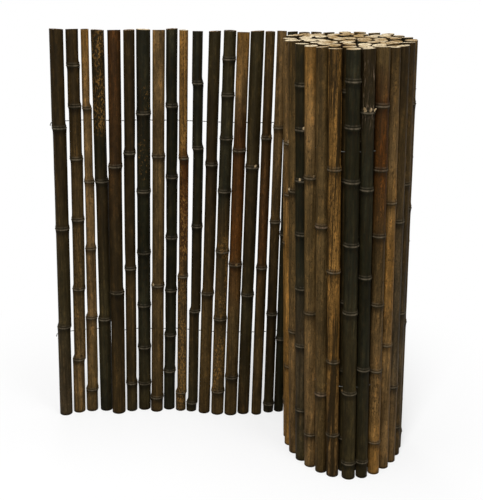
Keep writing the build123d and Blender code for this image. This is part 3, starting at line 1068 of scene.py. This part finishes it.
T = Tone
FLECKS = {"spots": 0.5, "spot": T.GOLD, "spot_size": (0.0035, 0.006)}
STAINS = {"spots": 0.5, "spot": T.SOOT_BROWN, "spot_size": (0.003, 0.007)}
PANEL_SKINS = (
    look("dark_brown", {0: T.GREY_BROWN, 300: T.DARK_OLIVE, 600: T.DARK_BROWN}),
    look("mottled", {0: T.OLIVE, 80: T.TAN, 300: T.OLIVE, 600: T.BROWN, 900: T.DARK_BROWN}, streaks=0.8,
         spot_heights=(0.1, 0.45), **{**STAINS, "spots": 0.45}),
    look("tan", {90: T.OLIVE, 300: T.TAN, 700: T.TAN, 900: T.GOLD}, streaks=0.35),
    look("mottled", {0: T.GREEN_BLACK, 300: T.DARK_OLIVE, 500: T.DARK_BROWN, 650: T.BLACK,
         900: T.DARK_BROWN},
         spot_heights=(0.69, 0.93), **FLECKS),
    look("red_brown", {0: T.BROWN, 250: T.DARK_BROWN, 450: T.DARK_BROWN, 900: T.RED_BROWN}),
    look("dark_brown", {0: T.DARK_OLIVE, 260: T.BROWN, 450: T.DARK_BROWN, 650: T.SOOT_BROWN,
         900: T.DARK_BROWN}),
    look("black", {0: T.DARK_OLIVE, 270: T.GREEN_BLACK, 450: T.BLACK, 900: T.GREEN_BLACK},
         spot_heights=(0.58, 0.79), **{**FLECKS, "spots": 0.25}),
    look("olive", {0: T.BROWN, 260: T.OLIVE, 650: T.OLIVE, 900: T.TAN}),
    look("black", {0: T.GREEN_BLACK, 400: T.BLACK, 700: T.BLACK, 900: T.GREEN_BLACK}),
    look("mottled", {270: T.OLIVE, 450: T.RED_BROWN, 600: T.RUST, 680: T.GOLD},
         streaks=0.7, **FLECKS),
    look("black", {0: T.DARK_OLIVE, 270: T.DARK_BROWN, 500: T.BLACK, 900: T.GREEN_BLACK}),
    look("dark_brown", {270: T.BROWN, 500: T.DARK_BROWN, 650: T.SOOT_BROWN, 900: T.DARK_OLIVE}),
    look("dark_brown", {270: T.OLIVE, 450: T.BROWN, 560: T.GREEN_BLACK, 900: T.DARK_OLIVE},
         spot_heights=(0.05, 0.45), **FLECKS),
    look("red_brown", {0: T.BROWN, 250: T.OLIVE, 450: T.RUST, 700: T.RED_BROWN, 780: T.TAN, 900: T.GOLD}),
    look("olive", {0: T.DARK_BROWN, 270: T.DARK_OLIVE, 450: T.DARK_BROWN, 900: T.DARK_OLIVE}),
    look("brown", {270: T.BROWN, 450: T.RED_BROWN, 900: T.BROWN}),
    look("olive", {0: T.DARK_OLIVE, 200: T.SOOT_BROWN, 300: T.SOOT_BROWN, 450: T.BROWN, 650: T.TAN}),
    look("black", {0: T.BLACK, 900: T.GREEN_BLACK}),
    look("dark_brown", {0: T.DARK_OLIVE, 900: T.DARK_BROWN}),
    look("brown", {0: T.BROWN, 500: T.OLIVE, 900: T.BROWN}),
    look("dark_brown", {0: T.BROWN, 400: T.DARK_BROWN, 900: T.SOOT_BROWN}),
)
TURN_SKINS = (
    look("dark_brown", {0: T.DARK_OLIVE, 900: T.DARK_BROWN}),
    look("brown", {0: T.BROWN, 400: T.OLIVE, 900: T.BROWN}),
    look("dark_brown", {0: T.DARK_BROWN, 900: T.BROWN}),
    look("olive", {0: T.OLIVE, 500: T.TAN, 900: T.OLIVE}),
    look("dark_brown", {0: T.DARK_OLIVE, 900: T.DARK_BROWN}),
    look("black", {0: T.GREEN_BLACK, 900: T.BLACK}),
    look("black", {0: T.BLACK, 900: T.GREEN_BLACK}),
    look("brown", {0: T.OLIVE, 500: T.BROWN, 900: T.OLIVE}),
    look("dark_brown", {0: T.BROWN, 260: T.GREY_BROWN, 480: T.DARK_BROWN, 700: T.OLIVE, 900: T.DARK_BROWN}),
    look("brown", {0: T.TAN, 260: T.GREY_BROWN, 450: T.GREY_BROWN, 700: T.BROWN, 900: T.DARK_BROWN}),
    look("tan", {260: T.TAN, 460: T.GOLD, 700: T.TAN, 900: T.BROWN}),
    look("red_brown", {0: T.GOLD, 260: T.TAN, 460: T.OLIVE, 680: T.RUST, 820: T.RED_BROWN, 900: T.OLIVE},
         spot_heights=(0.12, 0.78), **STAINS),
    look("black", {0: T.DARK_OLIVE, 260: T.GREEN_BLACK, 460: T.BLACK, 700: T.GREEN_BLACK,
         900: T.DARK_BROWN},
         spot=T.ASH, spots=0.35, spot_size=(0.003, 0.03), spot_heights=(0.76, 0.9)),
    look("black", {260: T.DARK_OLIVE, 460: T.GREEN_BLACK, 700: T.BLACK, 900: T.GREEN_BLACK}),
    look("striped", {0: T.TAN, 260: T.GOLD},
         streaks=0.95, streak_width=0.0075, streak_edge=0.43,
         spot=T.SOOT_BROWN, spots=0.5, spot_size=(0.004, 0.024)),
    look("brown", {0: T.BROWN, 260: T.OLIVE, 700: T.OLIVE, 900: T.BROWN},
         ring=T.ASH, ring_reach=0.0024),
    look("tan", {260: T.TAN, 460: T.OLIVE, 620: T.OLIVE, 760: T.TAN, 900: T.GOLD}, streaks=0.5),
    look("black", {0: T.DARK_OLIVE, 260: T.GREY_BROWN, 460: T.GREEN_BLACK, 700: T.BLACK,
         900: T.DARK_OLIVE}),
    look("red_brown", {260: T.TAN, 460: T.OLIVE, 700: T.OLIVE, 900: T.BROWN}),
    # Painted light: these two canes are painted brighter low down, against the shade that falls on them at
    # the lower left of the roll.
    look("tan", {460: T.GOLD, 700: T.TAN}),
    look("tan", {460: T.GOLD, 620: T.TAN, 700: T.OLIVE, 900: T.TAN}),
)
BUDS = {
    "panel_cane_08": (Bud(0.327, -40, 0.004, 0.005),),
    "panel_cane_14": (Bud(0.386, 10, 0.002, 0.007),),
    "panel_cane_15": (Bud(0.616, 25, 0.004, 0.006),),
    "panel_cane_16": (Bud(0.683, 35, 0.006, 0.006),),
    "panel_cane_02": (Bud(0.320, 20, 0.003, 0.005),),
    "outer_turn_cane_13": (
        Bud(0.794, -30, 0.009, 0.006), Bud(0.794, 15, 0.008, 0.005), Bud(0.794, 60, 0.006, 0.004),
    ),
    "outer_turn_cane_17": (Bud(0.654, 20, 0.004, 0.005),),
    "outer_turn_cane_18": (Bud(0.641, -20, 0.004, 0.006), Bud(0.745, 10, 0.005, 0.005)),
    "outer_turn_cane_19": (Bud(0.611, -60, 0.004, 0.005),),
    "outer_turn_cane_20": (Bud(0.703, -20, 0.006, 0.006),),
    "outer_turn_cane_14": (Bud(0.203, -80, 0.003, 0.005),),
}
INNER_SKINS = (
    look("black", {0: T.BLACK, 900: T.GREEN_BLACK}),
    look("dark_brown", {0: T.DARK_OLIVE, 900: T.DARK_BROWN}),
    look("brown", {0: T.OLIVE, 500: T.BROWN, 900: T.BROWN}),
    look("olive", {0: T.OLIVE, 500: T.TAN, 900: T.OLIVE}),
    look("red_brown", {0: T.BROWN, 500: T.RUST, 900: T.RED_BROWN}),
)


@dataclass
class Canes:
    """Every cane of the fence, made from its CAD node.

    Attributes:
        tree: The tree that makes culms.
        bud_tree: The tree that makes the stubs of branches.
        culms: The culms' forms in the order of the wire, after build.
        bud_wood: The stubs' material, after build.
    """

    tree: CulmTree = field(default_factory=CulmTree)
    bud_tree: BudTree = field(default_factory=BudTree)
    culms: list[CulmForm] = field(default_factory=list)
    bud_wood: Material | None = None

    PALE_PANEL_HEADS = (7, 8, 10)
    INNER_BUNCHES = (("second_turn_canes", 7), ("third_turn_canes", 5), ("core_canes", 4))
    TURN_SEED = 40
    INNER_SEED = 80
    SEED_SHIFT = 3.7

    def build(self) -> None:
        """Makes every cane and puts it in the place of its CAD node."""
        pale_wood = SawnWood().build()
        dark_wood = SawnWood("weathered_end", Tone.PITH, Tone.BROWN, Tone.DARK_BROWN).build()
        self.bud_wood = SawnWood("bud_wood", Tone.BONE, Tone.TAN, Tone.BROWN).build()
        slots = {part["node"]: part["material_slot"] for part in frame["record"]["subparts"]}
        for number, skin in enumerate(PANEL_SKINS, 1):
            wood = pale_wood if number in self.PALE_PANEL_HEADS else dark_wood
            self.dress(f"panel_cane_{number:02d}", skin, wood, number)
        for number, skin in enumerate(TURN_SKINS, 1):
            self.dress(f"outer_turn_cane_{number:02d}", skin, pale_wood, self.TURN_SEED + number)
        dressed = {skin.name: skin.build() for skin in INNER_SKINS}
        for name, count in self.INNER_BUNCHES:
            for number in range(1, count + 1):
                node = f"{name}_{number}"
                slot, seed = slots[node], self.INNER_SEED + len(self.culms)
                self.make(node, dressed[slot], pale_wood, slot, seed, fine=False)

    def dress(self, node: str, skin: CulmSkin, wood: Material, seed: float) -> None:
        """Makes one cane with a skin of its own."""
        material = replace(skin, name=f"{skin.name}_{seed:02.0f}", seed=seed * self.SEED_SHIFT).build()
        self.make(node, material, wood, skin.name, seed, fine=True)

    def make(self, node: str, skin: Material, wood: Material, slot: str, seed: float, fine: bool) -> None:
        """Makes the canes of one CAD node.

        Args:
            node: The CAD node.
            skin: The skin's material.
            wood: The sawn wood's material.
            slot: The record's material slot.
            seed: Sets the way that the canes are uneven.
            fine: Whether they are seen from near.
        """
        forms = read_culms(frame["nodes"][node])
        made = []
        while forms:
            if self.culms:
                last = self.culms[-1].middles[0]
                forms.sort(key=lambda form: float(np.linalg.norm(form.middles[0] - last)))
            form = forms.pop(0)
            self.culms.append(form)
            made.append(Culm(form, seed + len(made), fine).mesh(f"{node}_skin", self.tree, skin, wood))
        count = len(made)
        for number, bud in enumerate(BUDS.get(node, ())):
            values = {"Length": bud.length, "Width": bud.width, "Seed": seed + number}
            source = bpy.data.meshes.new(f"{node}_bud_seed")
            stub = self.bud_tree.grow(f"{node}_bud", source, {**values, "Wood": self.bud_wood})
            stub.transform(bud.place_on(self.culms[-1]))
            made.append(stub)
        whole = join(f"{node}_skin", made)
        put(f"{node}_skin", whole, slot, node)
        log.info("%s: %d culms, %d faces", node, count, len(whole.polygons))


@dataclass
class Wires:
    """The two wires on which the canes are threaded.

    Attributes:
        culms: The culms' forms in the order of the wire.
        heights: Each wire's name and height.
        strand_radius: The radius of one strand.
        twist: The length of one turn of the twist.
        tail: How far a wire's end is turned down.
        stand_off: From a culm's skin to the middle of a tail.
    """

    culms: list[CulmForm]
    heights: tuple[tuple[str, float], ...] = (("lower_wire", 0.214), ("upper_wire", 0.717))
    strand_radius: float = 0.00058
    twist: float = 0.0095
    tail: float = 0.009
    stand_off: float = 0.0036

    STEPS_IN_TWIST = 8

    def path(self, height: float) -> list[Vector]:
        """The points that a wire follows, with its ends turned down.

        Args:
            height: The wire's height.

        Returns:
            The points.
        """
        middles = [culm.at_height(height) for culm in self.culms]
        (first, first_radius), (second, _) = middles[:2]
        (last, last_radius), (before, _) = middles[-1], middles[-2]
        start = first + (first - second).normalized() * (first_radius + self.stand_off)
        end = last + (last - before).normalized() * (last_radius + self.stand_off)
        down = Vector((0, 0, -self.tail))
        return [start + down, start, *(middle for middle, _ in middles), end, end + down]

    def build(self) -> None:
        """Makes both wires."""
        tree = WireTree()
        values = {
            "Strand Radius": self.strand_radius,
            "Twist Length": self.twist,
            "Step": self.twist / self.STEPS_IN_TWIST,
            "Wire": GalvanisedWire().build(),
        }
        for name, height in self.heights:
            points = self.path(height)
            curve = bpy.data.curves.new(name + "_line", "CURVE")
            curve.dimensions = "3D"
            spline = curve.splines.new("NURBS")
            spline.points.add(len(points) - 1)
            for target, point in zip(spline.points, points):
                target.co = (*point, 1.0)
            spline.order_u = 3
            spline.use_endpoint_u = True
            mesh = tree.grow(name + "_strands", curve, values)
            put(name + "_strands", mesh, "galvanised_wire", name)
            log.info("%s: %d points, %d faces", name, len(points), len(mesh.polygons))


@dataclass
class Studio:
    """The camera, the light, the white background and the floor.

    Attributes:
        camera: The camera's place, as the photograph's perspective gives it.
        down, turn, roll: The camera's way, in degrees.
        lens: The lens in millimetres, for a sensor of 36 mm on the long side.
        white: How bright the background and the far floor are.
        world: How strongly the world lights the fence.
        aim: The height at which the lamps look.
        lamps: Name, place, side and power in watts of each lamp.
    """

    camera: tuple[float, float, float] = (0.0426, -1.945, 1.125)
    down: float = 18.77
    turn: float = -0.32
    roll: float = 0.69
    lens: float = 68.4
    white: float = 1.0
    world: float = 0.18
    aim: float = 0.45
    lamps: tuple[tuple[str, tuple[float, float, float], float, float], ...] = (
        ("key_lamp", (-0.5, -3.0, 1.7), 1.1, 78.0),
        ("fill_lamp", (1.9, -2.2, 1.5), 1.2, 16.0),
        ("top_lamp", (0.0, 0.0, 2.9), 1.6, 34.0),
        ("back_lamp", (-0.8, 3.0, 1.6), 1.2, 64.0),
    )

    SENSOR = 36.0
    WHITE = (1, 1, 1, 1)
    FLOOR = (0.82, 0.82, 0.82, 1)
    FLOOR_REACH = 30.0
    FLOOR_GLOW = 0.62
    GLOW_EDGES = (0.35, 1.0)

    def build(self) -> None:
        """Builds the studio."""
        self.place_camera()
        self.light_world()
        self.place_lamps()
        self.lay_floor()

    def place_camera(self) -> None:
        """Places the camera at the photograph's point of view."""
        data = bpy.data.cameras.new("camera")
        data.lens = self.lens
        data.sensor_width = self.SENSOR
        camera = add("camera", data)
        down, turn, roll = (math.radians(angle) for angle in (self.down, self.turn, self.roll))
        level = math.cos(down)
        forward = Vector((math.sin(turn) * level, math.cos(turn) * level, -math.sin(down)))
        right = Vector((math.cos(turn), -math.sin(turn), 0.0))
        up = right.cross(forward)
        across = right * math.cos(roll) + up * math.sin(roll)
        top = up * math.cos(roll) - right * math.sin(roll)
        turned = Matrix((across, top, -forward)).transposed().to_4x4()
        camera.matrix_world = Matrix.Translation(self.camera) @ turned
        bpy.context.scene.camera = camera

    def light_world(self) -> None:
        """Lights the world softly, and shows it white."""
        world = bpy.data.worlds.new("studio")
        world.use_nodes = True
        bpy.context.scene.world = world
        wiring = Wiring(world.node_tree)
        world.node_tree.nodes.clear()
        light = wiring.node("ShaderNodeBackground", {}, {"Color": self.WHITE, "Strength": self.world})
        shown = wiring.node("ShaderNodeBackground", {}, {"Color": self.WHITE, "Strength": self.white})
        mixed = wiring.node("ShaderNodeMixShader", {}, [self.seen(wiring), light, shown])
        wiring.fill(world.node_tree.nodes.new("ShaderNodeOutputWorld"), {"Surface": mixed})

    @staticmethod
    def seen(wiring: Wiring) -> Quantity:
        """Finds the rays that show the white ground: the camera's own, a reflection's or a glass's.

        Args:
            wiring: The wiring of the world's tree or a material's.

        Returns:
            1 for such a ray, and 0 for any other.
        """
        rays = wiring.tree.nodes.new("ShaderNodeLightPath")
        kinds = ("Is Camera Ray", "Is Glossy Ray", "Is Transmission Ray")
        camera, glossy, through = (Quantity(wiring.tree, rays.outputs[kind]) for kind in kinds)
        return (camera + glossy + through).math("MINIMUM", 1.0)

    def place_lamps(self) -> None:
        """Places the square soft lamps, which look at the fence."""
        for name, spot, size, power in self.lamps:
            data = bpy.data.lights.new(name, "AREA")
            data.shape = "SQUARE"
            data.size = size
            data.energy = power
            way = Vector((0, 0, self.aim)) - Vector(spot)
            turned = way.to_track_quat("-Z", "Y").to_matrix().to_4x4()
            add(name, data).matrix_world = Matrix.Translation(spot) @ turned

    def lay_floor(self) -> None:
        """Lays a pale floor that is white away from the fence and keeps the fence's shadow."""
        mesh = bpy.data.meshes.new("floor")
        reach = self.FLOOR_REACH
        corners = [(-reach, -reach, 0), (reach, -reach, 0), (reach, reach, 0), (-reach, reach, 0)]
        mesh.from_pydata(corners, [], [(0, 1, 2, 3)])
        floor = add("floor", mesh)
        material = bpy.data.materials.new("pale_floor")
        material.use_nodes = True
        tree = material.node_tree
        tree.nodes.clear()
        wiring = Wiring(tree)
        place = wiring.node("ShaderNodeTexCoord", result="Object")
        away = wiring.node("ShaderNodeVectorMath", {"operation": "LENGTH"}, [place], "Value")
        plain = wiring.node("ShaderNodeBsdfDiffuse", {}, {"Color": self.FLOOR, "Roughness": 1.0})
        glow = wiring.node("ShaderNodeEmission", {}, {"Color": self.WHITE, "Strength": self.white})
        share = self.FLOOR_GLOW + away.step(*self.GLOW_EDGES) * (1.0 - self.FLOOR_GLOW)
        mixed = wiring.node("ShaderNodeMixShader", {}, [share * self.seen(wiring), plain, glow])
        wiring.fill(tree.nodes.new("ShaderNodeOutputMaterial"), {"Surface": mixed})
        mesh.materials.append(material)


def main() -> None:
    """Builds the fence and its studio."""
    logging.basicConfig(level=logging.INFO, format="%(message)s")
    bpy.context.scene.view_settings.view_transform = "Standard"
    canes = Canes()
    canes.build()
    Wires(canes.culms).build()
    Studio().build()


if __name__ == "__main__":
    main()
